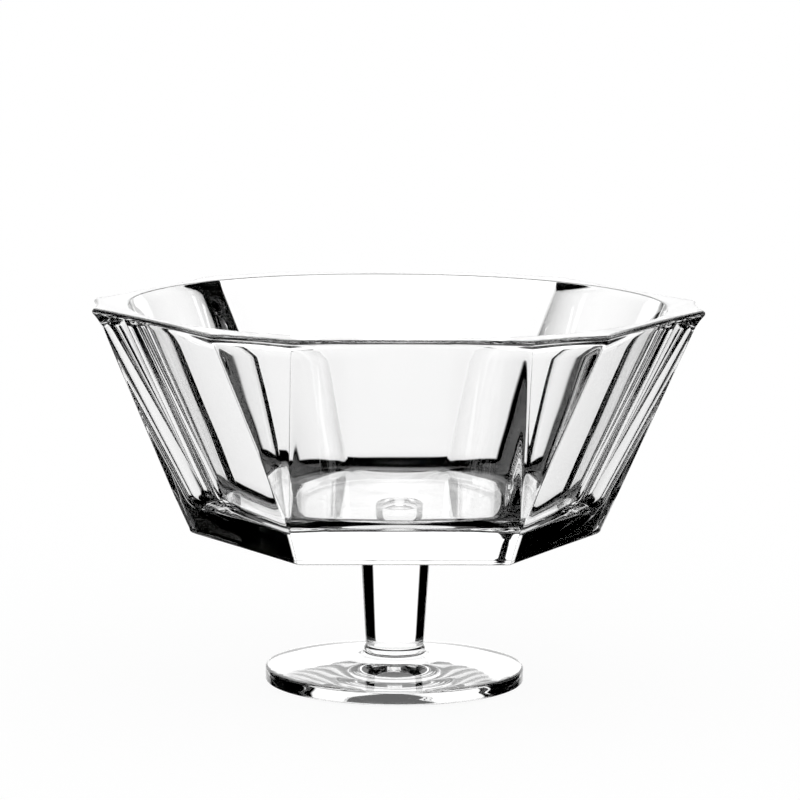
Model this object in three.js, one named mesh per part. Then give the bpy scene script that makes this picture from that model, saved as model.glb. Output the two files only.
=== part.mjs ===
// Footed fruit bowl in clear pressed glass: a faceted bowl on a round tapered stem and a swept foot.
// Millimetres, +Z up. The origin is the middle of the foot's flat underside, and one wide panel faces -Y.
import * as THREE from 'three';

// Bowl, outside. The base is a hexagon; six corner facets widen it to a twelve-sided rim with a small flare.
const SIDES = 6;
const BOWL_HEIGHT = 95.1;
const RIM_DIAMETER = 249.2;
const RIM_PANEL_WIDTH = 93;
const RIM_FLARE = 1.6;
const FLARE_HEIGHT = 14;
const BAND_HEIGHT = 13.6;
const BAND_CORNER_DIAMETER = 181;
const BASE_CORNER_DIAMETER = 168.2;
const CORNER_SOFTENING = 1.5;
const PANEL_HOLLOW = 0.4;
const FACET_HOLLOW = 1.4;
const BASE_EDGE_RADIUS = 2;
const LIP_EDGE_RADIUS = 0.8;

// Bowl, inside. A round cone runs down to a fillet and a flat floor.
const CAVITY_RIM_DIAMETER = 220;
const CAVITY_FLOOR_DIAMETER = 143;
const FLOOR_THICKNESS = 15.7;
const FLOOR_FILLET_RADIUS = 12;

// Stem, with a small flared collar where it stands on the foot.
const STEM_LENGTH = 48;
const STEM_TOP_DIAMETER = 29.6;
const STEM_FOOT_DIAMETER = 24;
const COLLAR_DIAMETER = 25.2;
const COLLAR_HEIGHT = 2.4;

// Foot: a disc with an upright edge. Its top is nearly level, then sweeps up to a flat seat under the stem.
const FOOT_DIAMETER = 106.6;
const FOOT_EDGE_THICKNESS = 5.7;
const FOOT_HEIGHT = 12.2;
const FOOT_SWEEP_DIAMETER = 32;
const FOOT_SWEEP_HEIGHT = 6.6;
const FOOT_TOP_EDGE_RADIUS = 0.9;
const FOOT_BOTTOM_EDGE_RADIUS = 0.6;
const SEAT_MARGIN = 0.3;

// Clear adhesive films, set back a little from the edge of the glass that they hold.
const BOND_THICKNESS = 0.3;
const BOND_SETBACK = 0.4;

// Smoothness of the round surfaces and of the hollow faces.
const PANEL_STEPS = 8;
const FACET_STEPS = 4;
const FILLET_STEPS = 6;
const SWEEP_STEPS = 10;
const EDGE_STEPS = 3;
const WALL_STEPS = 4;
const FLARE_STEPS = 4;
const ROUND_STEPS = 64;

const lerp = THREE.MathUtils.lerp;

// Heights at which the pieces meet.
const footBondZ = FOOT_HEIGHT;
const stemZ = footBondZ + BOND_THICKNESS;
const bowlBondZ = stemZ + STEM_LENGTH;
const bowlZ = bowlBondZ + BOND_THICKNESS;
const rimZ = bowlZ + BOWL_HEIGHT;

// Clear glass and the cured film, as they look in plain light.
function clearGlass() {
  return new THREE.MeshStandardMaterial({
    color: 0xf2f6f5, roughness: 0.02, metalness: 0, transparent: true, opacity: 0.35,
  });
}

function clearFilm() {
  return new THREE.MeshStandardMaterial({
    color: 0xf7f7f2, roughness: 0.15, metalness: 0, transparent: true, opacity: 0.35,
  });
}

// Points on a quarter-circle-like arc in a (radius, height) plane, both ends included.
function arc(centre, radius, fromAngle, toAngle, steps) {
  return Array.from({ length: steps + 1 }, (_, i) => {
    const angle = lerp(fromAngle, toAngle, i / steps);
    return new THREE.Vector2(centre.x + radius * Math.cos(angle), centre.y + radius * Math.sin(angle));
  });
}

// A solid of revolution about Z from (radius, height) points that start and end on the axis, lowest first.
function turned(points) {
  return new THREE.LatheGeometry(points, ROUND_STEPS).rotateX(Math.PI / 2);
}

// Points along an edge of the outline, drawn in towards the axis by a parabola. The end point is left out.
function hollowEdge(start, end, depth, steps) {
  const inwards = start.clone().add(end).normalize().negate();
  return Array.from({ length: steps }, (_, i) => {
    const t = i / steps;
    return start.clone().lerp(end, t).addScaledVector(inwards, depth * 4 * t * (1 - t));
  });
}

// One closed outline of the bowl's outside: six panels and six corner facets, moved outwards by the flare.
function panelRing({ apothem, halfWidth, panelHollow, facetHollow, flare }, z) {
  const turn = (2 * Math.PI) / SIDES;
  const axis = new THREE.Vector2();
  const corner = (side, end) => new THREE.Vector2(apothem, end * halfWidth)
    .rotateAround(axis, side * turn - Math.PI / 2);
  const ring = [];
  for (let side = 0; side < SIDES; side++) {
    ring.push(...hollowEdge(corner(side, -1), corner(side, 1), panelHollow, PANEL_STEPS));
    ring.push(...hollowEdge(corner(side, 1), corner(side + 1, -1), facetHollow, FACET_STEPS));
  }
  return ring.map((point) => {
    point.setLength(point.length() + flare);
    return new THREE.Vector3(point.x, point.y, z);
  });
}

// The outside of the bowl at a height above its underside: panel apothem, half width, hollows and flare.
function outsideAt(height) {
  const halfTurn = Math.PI / SIDES;
  const softening = CORNER_SOFTENING / (2 * Math.sin(2 * halfTurn));
  const hexagon = (cornerDiameter) => ({
    apothem: (cornerDiameter / 2) * Math.cos(halfTurn),
    halfWidth: (cornerDiameter / 2) * Math.sin(halfTurn) - softening,
  });
  const band = hexagon(BAND_CORNER_DIAMETER);
  if (height <= BAND_HEIGHT) {
    const base = hexagon(BASE_CORNER_DIAMETER);
    const t = height / BAND_HEIGHT;
    return {
      apothem: lerp(base.apothem, band.apothem, t),
      halfWidth: lerp(base.halfWidth, band.halfWidth, t),
      panelHollow: 0,
      facetHollow: 0,
      flare: 0,
    };
  }
  const rimHalfWidth = RIM_PANEL_WIDTH / 2;
  const rimApothem = Math.sqrt((RIM_DIAMETER / 2) ** 2 - rimHalfWidth ** 2);
  const t = (height - BAND_HEIGHT) / (BOWL_HEIGHT - BAND_HEIGHT);
  const flared = Math.max(0, 1 - (BOWL_HEIGHT - height) / FLARE_HEIGHT);
  return {
    apothem: lerp(band.apothem, rimApothem, t),
    halfWidth: lerp(band.halfWidth, rimHalfWidth, t),
    panelHollow: PANEL_HOLLOW * t,
    facetHollow: FACET_HOLLOW * t,
    flare: RIM_FLARE * flared ** 2,
  };
}

// The outline at a height, drawn inwards by an inset that keeps the panels parallel.
function outsideRing(height, inset = 0) {
  const outline = outsideAt(height);
  const apothem = outline.apothem - inset;
  const halfWidth = outline.halfWidth * (apothem / outline.apothem);
  return panelRing({ ...outline, apothem, halfWidth }, bowlZ + height);
}

// The cavity's (radius, height) profile from the lip down to the edge of the level floor.
function cavityProfile() {
  const lip = LIP_EDGE_RADIUS;
  const wallTop = new THREE.Vector2(CAVITY_RIM_DIAMETER / 2, rimZ - lip);
  const floorZ = bowlZ + FLOOR_THICKNESS;
  const wallFoot = new THREE.Vector2(CAVITY_FLOOR_DIAMETER / 2, floorZ);
  const lean = Math.atan2(wallTop.x - wallFoot.x, wallTop.y - wallFoot.y);
  // The fillet touches the sloping wall and the level floor.
  const tangent = FLOOR_FILLET_RADIUS * Math.tan((Math.PI / 2 - lean) / 2);
  const floorRadius = wallFoot.x - tangent;
  const fillet = arc(new THREE.Vector2(floorRadius, floorZ + FLOOR_FILLET_RADIUS), FLOOR_FILLET_RADIUS,
    -lean, -Math.PI / 2, FILLET_STEPS);
  const lipEdge = arc(new THREE.Vector2(wallTop.x + lip, rimZ - lip), lip, Math.PI / 2, Math.PI, EDGE_STEPS);
  return [...lipEdge, ...fillet];
}

// A closed solid through rings of equal count, capped at each end by a fan to a middle point.
function loft(rings, firstMiddle, lastMiddle) {
  const count = rings[0].length;
  const points = [firstMiddle, ...rings.flat(), lastMiddle];
  const index = [];
  const at = (ring, i) => 1 + ring * count + (i % count);
  for (let i = 0; i < count; i++) {
    index.push(0, at(0, i + 1), at(0, i));
    index.push(points.length - 1, at(rings.length - 1, i), at(rings.length - 1, i + 1));
    for (let ring = 0; ring + 1 < rings.length; ring++) {
      index.push(at(ring, i), at(ring, i + 1), at(ring + 1, i + 1));
      index.push(at(ring, i), at(ring + 1, i + 1), at(ring + 1, i));
    }
  }
  const geometry = new THREE.BufferGeometry().setFromPoints(points);
  geometry.setIndex(index);
  geometry.computeVertexNormals();
  return geometry;
}

// The bowl, lofted in one pass: out over the underside, up the facets, across the rim and into the cavity.
function bowlGeometry() {
  const baseEdge = arc(new THREE.Vector2(0, 0), BASE_EDGE_RADIUS, -Math.PI / 2, 0, EDGE_STEPS)
    .map((p) => outsideRing(BASE_EDGE_RADIUS + p.y, BASE_EDGE_RADIUS - p.x));
  const lipBase = BOWL_HEIGHT - LIP_EDGE_RADIUS;
  const flareBase = BOWL_HEIGHT - FLARE_HEIGHT;
  const rings = (from, to, steps) => Array.from({ length: steps },
    (_, i) => outsideRing(lerp(from, to, i / steps)));
  const walls = rings(BAND_HEIGHT, flareBase, WALL_STEPS);
  const flare = rings(flareBase, lipBase, FLARE_STEPS);
  const lipEdge = arc(new THREE.Vector2(0, 0), LIP_EDGE_RADIUS, 0, Math.PI / 2, EDGE_STEPS)
    .map((p) => outsideRing(lipBase + p.y, LIP_EDGE_RADIUS - p.x));
  // Each inner ring stands on the same bearings as the rim's corners, so the level land of the rim is even.
  const bearings = lipEdge.at(-1).map((p) => Math.atan2(p.y, p.x));
  const cavity = cavityProfile().map((p) => bearings.map(
    (bearing) => new THREE.Vector3(p.x * Math.cos(bearing), p.x * Math.sin(bearing), p.y),
  ));
  const underside = new THREE.Vector3(0, 0, bowlZ);
  const floorMiddle = new THREE.Vector3(0, 0, bowlZ + FLOOR_THICKNESS);
  return loft([...baseEdge, ...walls, ...flare, ...lipEdge, ...cavity], underside, floorMiddle);
}

// The stem: flat ends, an upright collar that eases into the taper.
function stemGeometry() {
  const footRadius = STEM_FOOT_DIAMETER / 2;
  const collarRadius = COLLAR_DIAMETER / 2;
  const collar = Array.from({ length: EDGE_STEPS + 1 }, (_, i) => {
    const t = i / EDGE_STEPS;
    const ease = t * t * (3 - 2 * t);
    return new THREE.Vector2(lerp(collarRadius, footRadius, ease), stemZ + COLLAR_HEIGHT * lerp(1 / 3, 1, t));
  });
  return turned([
    new THREE.Vector2(0, stemZ),
    new THREE.Vector2(collarRadius, stemZ),
    ...collar,
    new THREE.Vector2(STEM_TOP_DIAMETER / 2, bowlBondZ),
    new THREE.Vector2(0, bowlBondZ),
  ]);
}

// The foot: flat below, with an upright edge, a sweep above and a level seat for the stem.
function footGeometry() {
  const edgeRadius = FOOT_DIAMETER / 2;
  const seatRadius = COLLAR_DIAMETER / 2 + SEAT_MARGIN;
  const lower = arc(new THREE.Vector2(edgeRadius - FOOT_BOTTOM_EDGE_RADIUS, FOOT_BOTTOM_EDGE_RADIUS),
    FOOT_BOTTOM_EDGE_RADIUS, -Math.PI / 2, 0, EDGE_STEPS);
  const sweepFoot = new THREE.Vector2(edgeRadius - FOOT_TOP_EDGE_RADIUS, FOOT_EDGE_THICKNESS);
  const upper = arc(new THREE.Vector2(sweepFoot.x, FOOT_EDGE_THICKNESS - FOOT_TOP_EDGE_RADIUS),
    FOOT_TOP_EDGE_RADIUS, 0, Math.PI / 2, EDGE_STEPS);
  const sweep = new THREE.QuadraticBezierCurve(
    sweepFoot,
    new THREE.Vector2(FOOT_SWEEP_DIAMETER / 2, FOOT_SWEEP_HEIGHT),
    new THREE.Vector2(seatRadius, FOOT_HEIGHT),
  );
  return turned([
    new THREE.Vector2(0, 0),
    ...lower,
    ...upper,
    ...sweep.getPoints(SWEEP_STEPS).slice(1),
    new THREE.Vector2(0, FOOT_HEIGHT),
  ]);
}

// A bond film: a thin disc.
function bondGeometry(z, glassDiameter) {
  const radius = glassDiameter / 2 - BOND_SETBACK;
  return turned([
    new THREE.Vector2(0, z),
    new THREE.Vector2(radius, z),
    new THREE.Vector2(radius, z + BOND_THICKNESS),
    new THREE.Vector2(0, z + BOND_THICKNESS),
  ]);
}

function piece(name, geometry, material) {
  const mesh = new THREE.Mesh(geometry, material);
  mesh.name = name;
  return mesh;
}

const fruitBowl = new THREE.Group();
fruitBowl.add(
  piece('bowl', bowlGeometry(), clearGlass()),
  piece('bowl_bond', bondGeometry(bowlBondZ, STEM_TOP_DIAMETER), clearFilm()),
  piece('stem', stemGeometry(), clearGlass()),
  piece('foot_bond', bondGeometry(footBondZ, COLLAR_DIAMETER), clearFilm()),
  piece('foot', footGeometry(), clearGlass()),
);

export default fruitBowl;
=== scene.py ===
"""Footed fruit bowl in clear pressed glass: a faceted bowl, a tapered stem and a swept foot, bonded by films.

Shapes are worked out in millimetres, in the CAD frame, and become metres when a piece is made.
"""
import math

import bpy
import numpy as np
from mathutils import Matrix, Vector


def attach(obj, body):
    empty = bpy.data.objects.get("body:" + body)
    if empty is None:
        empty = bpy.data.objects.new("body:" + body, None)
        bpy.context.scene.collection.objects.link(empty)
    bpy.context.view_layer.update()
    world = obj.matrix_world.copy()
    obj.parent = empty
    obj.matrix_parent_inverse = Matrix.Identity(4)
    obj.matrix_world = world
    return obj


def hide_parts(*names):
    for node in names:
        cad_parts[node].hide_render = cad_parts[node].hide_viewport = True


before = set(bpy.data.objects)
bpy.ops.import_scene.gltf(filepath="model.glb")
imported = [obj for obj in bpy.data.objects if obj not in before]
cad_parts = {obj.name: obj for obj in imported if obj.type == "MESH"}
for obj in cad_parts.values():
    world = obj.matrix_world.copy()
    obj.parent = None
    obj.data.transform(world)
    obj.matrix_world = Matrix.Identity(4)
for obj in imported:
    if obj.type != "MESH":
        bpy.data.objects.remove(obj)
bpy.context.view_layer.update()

MM = 0.001
SIDES = 6
TURN = 2 * math.pi / SIDES

# Heights of the pieces, from the table up.
foot_top, stem_low, stem_high, base_z, rim_z = 12.2, 12.5, 60.5, 60.8, 155.9
band_height = 13.6
band_z = base_z + band_height

# Bowl, outside: distances from the axis to the corners, half the width of a panel at the rim, and the edges.
base_corner, band_corner, rim_corner = 84.1, 90.5, 125.0
rim_panel_half = 46.5
rim_apothem = math.sqrt(rim_corner ** 2 - rim_panel_half ** 2)
panel_hollow, facet_hollow = 0.2, 1.4
edge_sharpness = 320.0
base_round = 2.0
lip_round, lip_lean, mouth_round = 1.4, 0.45, 0.6
rim_flare, flare_height = 2.6, 8.0

# Limits of the outside's formula: the ridge's place on a half panel, a hollow's bearing, a face's cosine.
ridge_limit, hollow_reach, facing_limit = 0.9999, 0.6, 0.2

# Columns of the bowl: how far they crowd to each side of a ridge, in radians, and how many there are.
crowd_most, crowd_share, crowd_least = 0.022, 0.4, 0.0015
panel_columns, ridge_columns, facet_columns = 14, 15, 9

# Rows of the bowl: they lie closer near the top of the band and under the rim.
below_band, above_band, under_rim = 3, 6, 22
band_rows, bend_rows, wall_rows, rim_rows = 8, 14, 26, 34
film_rows, under_rows, edge_rows, lip_rows, land_rows = 6, 12, 9, 13, 7
mouth_rows, cone_rows, fillet_rows, floor_rows = 7, 30, 24, 8
film_middle_share, floor_middle_share = 0.1, 0.05

# Bowl, inside: a round cone, a fillet and a flat floor.
mouth_radius, floor_edge_radius, floor_z, floor_fillet = 110.0, 71.5, 76.0, 12.0

# Stem, collar, foot and bond films.
stem_top_radius, stem_foot_radius, collar_radius, collar_height = 14.8, 12.0, 12.6, 2.4
foot_radius, foot_edge, foot_low_round, foot_high_round = 53.3, 5.7, 0.6, 0.9
foot_bend_radius, foot_bend_z, seat_margin = 16.0, 6.6, 0.3
film_setback = 0.4

# Turned pieces: columns round them, rows along them, and where a level face starts from its middle.
turned_columns = 192
collar_rows, taper_rows, seat_rows, disc_rows = 10, 16, 3, 2
underside_rows, low_edge_rows, high_edge_rows, sweep_rows = 12, 8, 10, 40
seat_middle_share, film_disc_share, underside_middle = 0.3, 0.5, 2
sharp_angle = math.radians(40)


# Bowl, outside

def along(z, low_z, high_z, low, high):
    """A straight run from low at low_z to high at high_z."""
    return low + (high - low) * (z - low_z) / (high_z - low_z)


def panel_apothem(z):
    """Distance from the axis to a wide panel: one slope up the band, one that leans out more above it."""
    flat = math.cos(TURN / 2)
    return np.where(z > band_z, along(z, band_z, rim_z, band_corner * flat, rim_apothem),
                    along(z, base_z, band_z, base_corner * flat, band_corner * flat))


def facet_apothem(z):
    """Distance from the axis to a corner facet, which starts as a point at the top of the band."""
    half_angle = TURN / 2 - math.atan2(rim_panel_half, rim_apothem)
    return along(z, band_z, rim_z, band_corner, rim_corner * math.cos(half_angle))


def ridge_angle(z):
    """Bearing, from the middle of a panel, of the ridge where the panel meets the corner facet."""
    panel, facet = panel_apothem(z), facet_apothem(z)
    half_width = (facet - panel * math.cos(TURN / 2)) / math.sin(TURN / 2)
    return np.arctan2(np.minimum(half_width, panel * math.tan(TURN / 2) * ridge_limit), panel)


def hollowed(flat, bearing, half_angle, depth, z):
    """Distance to a face at a bearing from its middle: a parabola across it, deepest in the middle.

    The depth grows evenly from nothing at the top of the band to its full value at the rim.
    """
    bearing = (bearing + math.pi) % (2 * math.pi) - math.pi
    across = np.tan(np.clip(bearing, -hollow_reach, hollow_reach)) / np.tan(half_angle)
    rise = np.clip((z - band_z) / (rim_z - band_z), 0, 1)
    return flat - depth * rise * np.clip(1 - across ** 2, 0, 1)


def outside_radius(bearing, z):
    """Radius of the twelve-sided outside: a power mean, which is a smooth minimum of twelve faces.

    Near the rim the ridges and facets flare outwards. The flare grows as a square with height, and
    fades as a square to nothing at the middle of each wide panel.
    """
    panel, facet, ridge = panel_apothem(z), facet_apothem(z), ridge_angle(z)
    faces = [(panel, 0.0, ridge, panel_hollow), (facet, TURN / 2, TURN / 2 - ridge, facet_hollow)]
    total = 0
    for side in range(SIDES):
        for flat, middle, half_angle, depth in faces:
            off = bearing - middle - side * TURN
            share = np.abs(np.cos(off) * panel / hollowed(flat, off, half_angle, depth, z))
            total = total + np.where(np.cos(off) > facing_limit, share, 0) ** edge_sharpness
    from_middle = np.abs((bearing + TURN / 2) % TURN - TURN / 2)
    flare = rim_flare * np.clip(1 - (rim_z - z) / flare_height, 0, 1) ** 2
    return panel * total ** (-1 / edge_sharpness) + flare * np.clip(from_middle / ridge, 0, 1) ** 2


def bearings(z):
    """Bearings of the bowl's columns at each height: they follow the ridges and crowd over them."""
    ridge = ridge_angle(z)[:, None]
    half = TURN / 2
    spread = np.minimum(crowd_most, crowd_share * (half - ridge) + crowd_least)
    panel = (ridge - spread) * np.linspace(0, 1, panel_columns, endpoint=False)
    edge = ridge + spread * np.linspace(-1, 1, ridge_columns)
    facet = ridge + spread + (half - ridge - spread) * np.linspace(0, 1, facet_columns)[1:]
    half_sector = np.concatenate([panel, edge, facet], 1)
    sector = np.concatenate([-half_sector[:, ::-1], half_sector[:, 1:]], 1)[:, :-1]
    return np.concatenate([sector + side * TURN for side in range(SIDES)], 1)


# Profiles

def arc(centre, radius, start, end, count):
    """Points on a circle in the (radius, height) plane, angles in degrees."""
    angle = np.radians(np.linspace(start, end, count))
    return np.c_[centre[0] + radius * np.cos(angle), centre[1] + radius * np.sin(angle)]


def line(start, end, count):
    """Evenly spaced points from start to end."""
    return np.linspace(start, end, count)


def cavity_profile():
    """The cavity from the lip to near the middle of its floor: quarter round, cone, fillet, level floor."""
    wall_top = rim_z - mouth_round
    lean = math.atan2(mouth_radius - floor_edge_radius, wall_top - floor_z)
    tangent = floor_fillet * math.tan((math.pi / 2 - lean) / 2)
    fillet_x = floor_edge_radius - tangent
    wall_foot = (floor_edge_radius + tangent * math.sin(lean), floor_z + tangent * math.cos(lean))
    fillet_middle = (fillet_x, floor_z + floor_fillet)
    return np.concatenate([
        arc((mouth_radius + mouth_round, wall_top), mouth_round, 90, 180, mouth_rows),
        line((mouth_radius, wall_top), wall_foot, cone_rows)[1:],
        arc(fillet_middle, floor_fillet, -math.degrees(lean), -90, fillet_rows)[1:],
        line((fillet_x, floor_z), (fillet_x * floor_middle_share, floor_z), floor_rows)[1:],
    ])


def bowl_rows():
    """Bearings, radii and heights of the bowl's rows, and how many of them face the bond film.

    They run over the underside, the base edge, the outside, the lip, the level rim and the cavity.
    """
    lip_low = rim_z - lip_round * (1 + math.sin(lip_lean))
    heights = np.concatenate([
        line(base_z + base_round, band_z - below_band, band_rows),
        line(band_z - below_band, band_z + above_band, bend_rows)[1:],
        line(band_z + above_band, rim_z - under_rim, wall_rows)[1:],
        line(rim_z - under_rim, lip_low, rim_rows)[1:]])
    turn = bearings(heights)
    wall = outside_radius(turn, heights[:, None] + 0 * turn)
    low, high = wall[:1], wall[-1:]
    film = stem_top_radius - film_setback
    joint = film * line(film_middle_share, 1, film_rows)[:, None] + 0 * low
    under = film + (low - base_round - film) * line(0, 1, under_rows)[1:, None]
    bend = np.radians(line(0, 90, edge_rows))[1:-1, None]
    edge = low - base_round * (1 - np.sin(bend))
    edge_z = base_z + base_round * (1 - np.cos(bend)) + 0 * low
    roll = line(-lip_lean, math.pi / 2, lip_rows)[1:, None]
    lip = high - lip_round * (math.cos(lip_lean) - np.cos(roll))
    lip_z = rim_z - lip_round * (1 - np.sin(roll)) + 0 * high
    cavity = cavity_profile()
    land = lip[-1:] + (cavity[0, 0] - lip[-1:]) * line(0, 1, land_rows)[1:-1, None]
    inside = cavity[:, :1] + 0 * high
    level = np.ones_like(low)
    radii = np.concatenate([joint, under, edge, wall, lip, land, inside])
    tops = np.concatenate([
        base_z * level.repeat(len(joint) + len(under), 0), edge_z, heights[:, None] + 0 * turn, lip_z,
        rim_z * level.repeat(len(land), 0), cavity[:, 1:] + 0 * high])
    below = len(joint) + len(under) + len(edge)
    above = len(lip) + len(land) + len(inside)
    turns = np.concatenate([turn[:1].repeat(below, 0), turn, turn[-1:].repeat(above, 0)])
    return turns, radii, tops, len(joint)


# Pieces

def add_object(name, data):
    """A new object in the scene."""
    thing = bpy.data.objects.new(name, data)
    bpy.context.collection.objects.link(thing)
    return thing


def ring_quads(rows, columns):
    """Four-sided faces between rows of points, where each row is a closed ring."""
    start = np.arange(rows - 1)[:, None] * columns
    here = np.arange(columns)
    after = (here + 1) % columns
    corners = [start + here, start + after, start + columns + after, start + columns + here]
    return np.stack(corners, -1).reshape(-1, 4)


def closed_piece(name, points, first, last, slots, node, slot):
    """A closed skin through rows of points, each row a ring; the ends are fans to a middle point."""
    rows, columns = points.shape[:2]
    flat = np.concatenate([points.reshape(-1, 3), [first, last]]) * MM
    quads = ring_quads(rows, columns)
    here = np.arange(columns)
    after = (here + 1) % columns
    end = (rows - 1) * columns
    low_fan = np.stack([np.full(columns, rows * columns), after, here], -1)
    high_fan = np.stack([np.full(columns, rows * columns + 1), end + here, end + after], -1)
    mesh = bpy.data.meshes.new(name)
    mesh.from_pydata(flat.tolist(), [], low_fan.tolist() + quads.tolist() + high_fan.tolist())
    of_face = np.repeat(slots, columns)
    mesh.polygons.foreach_set("material_index", of_face.astype(np.int32))
    mesh.polygons.foreach_set("use_smooth", np.ones(len(of_face), bool))
    mesh.set_sharp_from_angle(angle=sharp_angle)
    piece = add_object(name, mesh)
    mesh.materials.append(clear_film if slot == "clear_film" else clear_glass)
    mesh.materials.append(fused_face)
    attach(piece, "root")
    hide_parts(node)


def ring_points(turns, radii, heights):
    """Points from bearings that start at the front panel, -Y, and run anticlockwise seen from above."""
    angle = turns - math.pi / 2
    return np.stack([radii * np.cos(angle), radii * np.sin(angle), heights], -1)


def turned_piece(name, profile, joint_rows, node, slot):
    """A piece of revolution from a (radius, height) profile; joint_rows at each end face a bond film."""
    profile = np.asarray(profile, float)
    round_turn = np.arange(turned_columns) * 2 * math.pi / turned_columns
    turns = np.broadcast_to(round_turn, (len(profile), turned_columns))
    points = ring_points(turns, profile[:, :1] + 0 * turns, profile[:, 1:] + 0 * turns)
    slots = np.zeros(len(profile) + 1, int)
    low, high = joint_rows
    slots[:low] = 1
    slots[len(slots) - high:] = 1
    closed_piece(name, points, (0, 0, profile[0, 1]), (0, 0, profile[-1, 1]), slots, node, slot)


def make_bowl():
    """The bowl, in one pass from the middle of its underside to the middle of its floor."""
    turns, radii, heights, joint = bowl_rows()
    slots = np.zeros(len(radii) + 1, int)
    slots[:joint] = 1
    closed_piece("glass_bowl", ring_points(turns, radii, heights), (0, 0, base_z),
                 (0, 0, floor_z), slots, "bowl", "clear_glass")


def make_stem():
    """A tapered rod with flat ends and a collar: upright for a third, then an S-curve into the taper."""
    ease = np.linspace(0, 1, collar_rows)
    smooth = ease ** 2 * (3 - 2 * ease)
    collar = np.c_[collar_radius + (stem_foot_radius - collar_radius) * smooth,
                   stem_low + collar_height * (1 + 2 * ease) / 3]
    film_low, film_high = collar_radius - film_setback, stem_top_radius - film_setback
    profile = np.concatenate([
        line((film_low * seat_middle_share, stem_low), (film_low, stem_low), seat_rows),
        [(collar_radius, stem_low)], collar,
        line(collar[-1], (stem_top_radius, stem_high), taper_rows)[1:],
        line((film_high, stem_high), (film_high * seat_middle_share, stem_high), seat_rows)])
    turned_piece("glass_stem", profile, (seat_rows, seat_rows), "stem", "clear_glass")


def make_foot():
    """A disc with an upright edge: flat below, and a quadratic curve above that sweeps up to a level seat."""
    sweep_start = np.array([foot_radius - foot_high_round, foot_edge])
    sweep_end = np.array([collar_radius + seat_margin, foot_top])
    middle = np.array([foot_bend_radius, foot_bend_z])
    t = np.linspace(0, 1, sweep_rows)[1:, None]
    sweep = (1 - t) ** 2 * sweep_start + 2 * t * (1 - t) * middle + t ** 2 * sweep_end
    film = collar_radius - film_setback
    flat_radius = foot_radius - foot_low_round
    profile = np.concatenate([
        line((underside_middle, 0), (flat_radius, 0), underside_rows),
        arc((flat_radius, foot_low_round), foot_low_round, -90, 0, low_edge_rows)[1:],
        arc((sweep_start[0], foot_edge - foot_high_round), foot_high_round, 0, 90, high_edge_rows), sweep,
        line((film, foot_top), (film * seat_middle_share, foot_top), seat_rows)])
    turned_piece("glass_foot", profile, (0, seat_rows), "foot", "clear_glass")


def make_film(name, low_z, high_z, glass_radius, node):
    """A thin disc of clear adhesive, set back from the edge of the glass."""
    radius = glass_radius - film_setback
    inner = radius * film_disc_share
    profile = [(inner, low_z), (radius, low_z), (radius, high_z), (inner, high_z)]
    turned_piece(name, profile, (disc_rows, disc_rows), node, "clear_film")


# Materials

glass_index = 1.52
ripple_scale, ripple_depth = 45.0, 0.00012


def clear_material(name):
    """A clear, smooth and colourless material with its constants on the shader's own sockets."""
    material = bpy.data.materials.new(name)
    material.use_nodes = True
    shader = material.node_tree.nodes["Principled BSDF"]
    shader.inputs["Base Color"].default_value = (1, 1, 1, 1)
    shader.inputs["Roughness"].default_value = 0.0
    shader.inputs["IOR"].default_value = glass_index
    shader.inputs["Transmission Weight"].default_value = 1.0
    return material


def emitter(name, attribute=None):
    """A plain white glowing surface, even or weighted by a point attribute."""
    material = bpy.data.materials.new(name)
    material.use_nodes = True
    tree = material.node_tree
    tree.nodes.clear()
    glow = tree.nodes.new("ShaderNodeEmission")
    glow.inputs["Color"].default_value = (1, 1, 1, 1)
    glow.inputs["Strength"].default_value = 1.0
    if attribute:
        weight = tree.nodes.new("ShaderNodeAttribute")
        weight.attribute_name = attribute
        tree.links.new(weight.outputs["Fac"], glow.inputs["Strength"])
    out = tree.nodes.new("ShaderNodeOutputMaterial")
    tree.links.new(glow.outputs[0], out.inputs["Surface"])
    material.cycles.emission_sampling = "NONE"
    return material


def add_waviness(material):
    """The slow ripple of pressed glass: noise over the object's own coordinates, as a bump."""
    tree = material.node_tree
    place = tree.nodes.new("ShaderNodeTexCoord")
    ripple = tree.nodes.new("ShaderNodeTexNoise")
    ripple.inputs["Scale"].default_value = ripple_scale
    ripple.inputs["Detail"].default_value = 0.0
    bump = tree.nodes.new("ShaderNodeBump")
    bump.inputs["Strength"].default_value = 1.0
    bump.inputs["Distance"].default_value = ripple_depth
    tree.links.new(place.outputs["Object"], ripple.inputs["Vector"])
    tree.links.new(ripple.outputs["Fac"], bump.inputs["Height"])
    tree.links.new(bump.outputs["Normal"], tree.nodes["Principled BSDF"].inputs["Normal"])


clear_glass = clear_material("clear_glass")
clear_film = clear_material("clear_film")
add_waviness(clear_glass)

# Faces that meet across a bond film let light straight through.
fused_face = bpy.data.materials.new("fused_face")
fused_face.use_nodes = True
fused_face.node_tree.nodes.clear()
open_shader = fused_face.node_tree.nodes.new("ShaderNodeBsdfTransparent")
fused_out = fused_face.node_tree.nodes.new("ShaderNodeOutputMaterial")
fused_face.node_tree.links.new(open_shader.outputs[0], fused_out.inputs["Surface"])

make_bowl()
make_film("bowl_film", stem_high, base_z, stem_top_radius, "bowl_bond")
make_stem()
make_film("foot_film", foot_top, stem_low, collar_radius, "foot_bond")
make_foot()


# Camera

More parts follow.
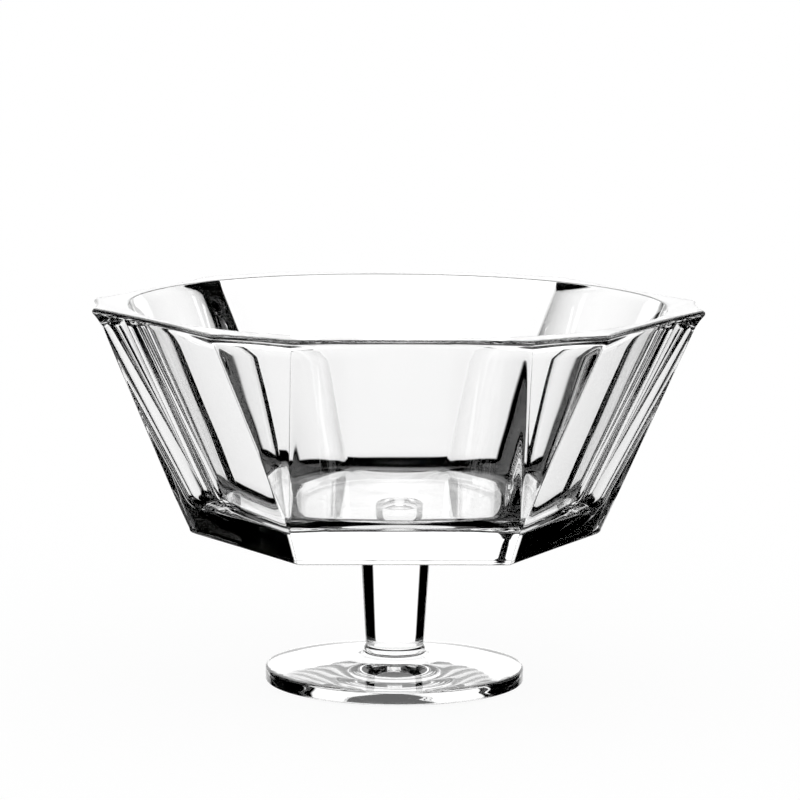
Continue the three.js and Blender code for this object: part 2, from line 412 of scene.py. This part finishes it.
elevation, distance, roll = math.radians(8.2), 1721.6, math.radians(0.55)
focal_pixels, picture_pixels, bowl_turn = 4197.3, 800, math.radians(2.71)
sensor_width, farthest = 36, 100
aim = Vector((1.25, 0, 116.36))
camera_data = bpy.data.cameras.new("camera")
camera_data.sensor_width = sensor_width
camera_data.lens = sensor_width * focal_pixels / picture_pixels
camera_data.clip_end = farthest
camera = add_object("camera", camera_data)
ahead = Vector((0, math.cos(elevation), -math.sin(elevation)))
right = Vector((1, 0, 0))
up = right.cross(ahead)
across = math.cos(roll) * right + math.sin(roll) * up
upright = -math.sin(roll) * right + math.cos(roll) * up
eye = (aim - ahead * distance) * MM
stand = Matrix(((across.x, upright.x, -ahead.x, eye.x), (across.y, upright.y, -ahead.y, eye.y),
                (across.z, upright.z, -ahead.z, eye.z), (0, 0, 0, 1)))
camera.matrix_world = Matrix.Rotation(-bowl_turn, 4, "Z") @ stand
bpy.context.scene.camera = camera


# Light tent, floor and background

# The tent's radius is in metres. Its bearings and elevations are in degrees.
tent_radius = 20.0
tent_columns, tent_rows, tent_top = 400, 199, 89
panel_strength, panel_fall, fall_start, fall_range = 1.18, 0.012, -4, 16
panel_middle, panel_half_turn, panel_spread = -2.0, 34.0, 0.18
panel_low, panel_high, panel_soft = -19.5, 46.0, 1.2
table_strength, table_half_turn, table_high, table_soft = 0.15, 35.0, -43.0, 4.0
spot_strength, spot_half_turn, spot_high, spot_half_height = 0.8, 14.0, 7.0, 2.2

# Floor and mat, in metres.
floor_half, floor_drop, floor_glow = 6.0, 0.001, 0.93
mat_radius, mat_drop, mat_corners = 0.052, 0.0005, 96

# How often light may bounce or pass through glass.
light_bounces, mirror_bounces, open_bounces = 28, 20, 32


def smooth_step(value, low, high):
    """0 below low, 1 above high, an S-curve between."""
    t = np.clip((value - low) / (high - low), 0, 1)
    return t * t * (3 - 2 * t)


def tent_glow(turn, height):
    """Brightness of the tent by bearing and elevation: a panel behind, a dim table, else darkness.

    The panel widens evenly with height, dims evenly towards its foot, and has a brighter spot in the
    shape of a bell curve.
    """
    half_turn = panel_half_turn + panel_spread * height
    panel = smooth_step(half_turn - np.abs(turn - panel_middle), -panel_soft, panel_soft)
    panel = panel * smooth_step(height - panel_low, -panel_soft, panel_soft)
    panel = panel * smooth_step(panel_high - height, -panel_soft, panel_soft)
    table = smooth_step(table_half_turn - np.abs(turn), -table_soft, table_soft)
    table = table * smooth_step(table_high - height, -table_soft, table_soft)
    strength = panel_strength - panel_fall * np.clip(fall_start - height, 0, fall_range)
    spot = np.exp(-(turn / spot_half_turn) ** 2 - ((height - spot_high) / spot_half_height) ** 2)
    return (strength + spot_strength * spot) * panel + table_strength * table


def make_tent():
    """A sphere round the bowl that only the glass sees.

    It keeps its place to the camera, as lights do beside a turntable.
    """
    turn, height = np.meshgrid(np.linspace(-180, 180, tent_columns + 1)[:-1],
                               np.linspace(-tent_top, tent_top, tent_rows))
    turn_r, height_r = np.radians(turn), np.radians(height)
    across_x = np.cos(height_r) * np.sin(turn_r)
    ahead_y = np.cos(height_r) * np.cos(turn_r)
    up_z = np.sin(height_r)
    y_camera = up_z * math.cos(elevation) + ahead_y * math.sin(elevation)
    z_camera = -(ahead_y * math.cos(elevation) - up_z * math.sin(elevation))
    points = np.stack([across_x, y_camera, z_camera], -1) * tent_radius
    points[..., 2] -= distance * MM
    mesh = bpy.data.meshes.new("light_tent")
    mesh.from_pydata(points.reshape(-1, 3).tolist(), [], ring_quads(*turn.shape).tolist())
    glow = mesh.attributes.new("glow", "FLOAT", "POINT")
    glow.data.foreach_set("value", tent_glow(turn, height).reshape(-1).astype(np.float32))
    mesh.materials.append(emitter("tent_cloth", "glow"))
    tent = add_object("light_tent", mesh)
    tent.parent = camera
    tent.visible_camera = tent.visible_diffuse = tent.visible_shadow = False


def make_floor():
    """A wide pale floor that keeps a faint shadow, and a white mat under the foot that the glass sees."""
    mesh = bpy.data.meshes.new("floor")
    sides = [(-1, -1), (1, -1), (1, 1), (-1, 1)]
    corners = [(x * floor_half, y * floor_half, -floor_drop) for x, y in sides]
    mesh.from_pydata(corners, [], [(0, 1, 2, 3)])
    floor = add_object("floor", mesh)
    floor.visible_glossy = floor.visible_transmission = False
    material = bpy.data.materials.new("pale_floor")
    material.use_nodes = True
    tree = material.node_tree
    tree.nodes.clear()
    matt = tree.nodes.new("ShaderNodeBsdfDiffuse")
    matt.inputs["Color"].default_value = (1, 1, 1, 1)
    glow = tree.nodes.new("ShaderNodeEmission")
    mix = tree.nodes.new("ShaderNodeMixShader")
    mix.inputs["Fac"].default_value = floor_glow
    out = tree.nodes.new("ShaderNodeOutputMaterial")
    tree.links.new(matt.outputs[0], mix.inputs[1])
    tree.links.new(glow.outputs[0], mix.inputs[2])
    tree.links.new(mix.outputs[0], out.inputs["Surface"])
    material.cycles.emission_sampling = "NONE"
    mesh.materials.append(material)
    angle = np.arange(mat_corners) * 2 * math.pi / mat_corners
    ring = np.c_[mat_radius * np.cos(angle), mat_radius * np.sin(angle), np.full(mat_corners, -mat_drop)]
    mat_mesh = bpy.data.meshes.new("white_mat")
    mat_mesh.from_pydata(ring.tolist(), [], [list(range(mat_corners))])
    mat_mesh.materials.append(emitter("white_mat"))
    white_mat = add_object("white_mat", mat_mesh)
    white_mat.visible_camera = white_mat.visible_diffuse = False


make_tent()
make_floor()

scene = bpy.context.scene
world = bpy.data.worlds.new("white_studio")
scene.world = world
world.use_nodes = True
world.node_tree.nodes["Background"].inputs["Color"].default_value = (1, 1, 1, 1)
world.node_tree.nodes["Background"].inputs["Strength"].default_value = 1.0
scene.view_settings.view_transform = "Standard"
scene.cycles.max_bounces = light_bounces
scene.cycles.transmission_bounces = light_bounces
scene.cycles.glossy_bounces = mirror_bounces
scene.cycles.transparent_max_bounces = open_bounces
